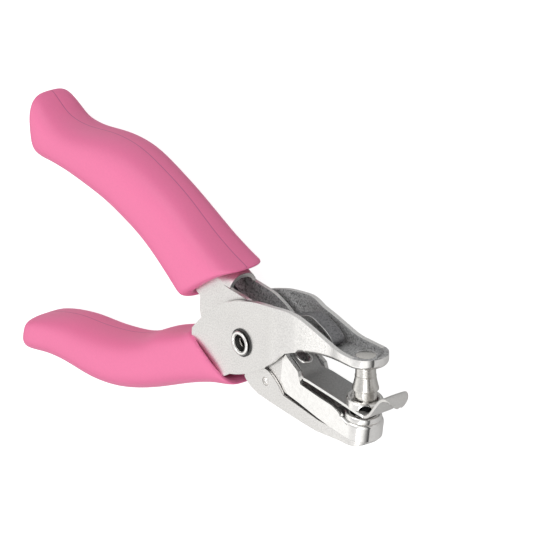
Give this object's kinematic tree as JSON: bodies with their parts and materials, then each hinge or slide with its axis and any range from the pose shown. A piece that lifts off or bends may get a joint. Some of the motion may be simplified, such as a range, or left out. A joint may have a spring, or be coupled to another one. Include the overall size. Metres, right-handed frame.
{
  "type": "hand hole punch",
  "caption": "Pliers-type hand paper punch with a round punch and die, a spring-returned upper jaw, a stripper strip with a raised tongue, a swinging chip tray and soft grips.",
  "frame": {"origin": "centre of the pivot rivet's through hole, at half the tool's width", "axes": "+Z along the pivot, up when the punch lies flat on its side; +X from the pivot to the jaws, parallel to the lower jaw; +Y from the die towards the punch"},
  "size_m": [0.1552, 0.0815, 0.0188],
  "materials": {
    "satin_nickel": "satin nickel plate over bent sheet steel",
    "bright_nickel": "bright nickel plate",
    "turned_steel": "fine turned steel",
    "spring_steel": "matt grey spring steel",
    "dark_steel": "dull dark steel",
    "pink_grip": "satin soft vinyl"
  },
  "bodies": {
    "die_side": {"die_arm": "satin_nickel", "pivot_rivet": "bright_nickel", "pivot_washers": "dark_steel", "spacer_washers": "dark_steel", "die_bush": "turned_steel", "stripper": "spring_steel", "stripper_collar": "bright_nickel", "upper_grip": "pink_grip"},
    "punch_side": {"punch_arm": "satin_nickel", "punch_pin": "turned_steel", "pin_head": "turned_steel", "return_spring": "spring_steel", "lower_grip": "pink_grip"},
    "tray": {"chip_tray": "satin_nickel"}
  },
  "joints": [
    {"name": "squeeze", "type": "hinge", "parent": "die_side", "child": "punch_side", "pos_m": [0, 0, 0], "axis": [0, 0, 1], "range_deg": [-6.7, 0], "stiffness_Nm_per_rad": 2, "springref_deg": 8.59, "deforming": ["return_spring"]},
    {"name": "tray_swing", "type": "hinge", "parent": "die_side", "child": "tray", "pos_m": [0.0089, -0.0082, 0], "axis": [0, 0, 1], "range_deg": [-30, 0]}
  ]
}
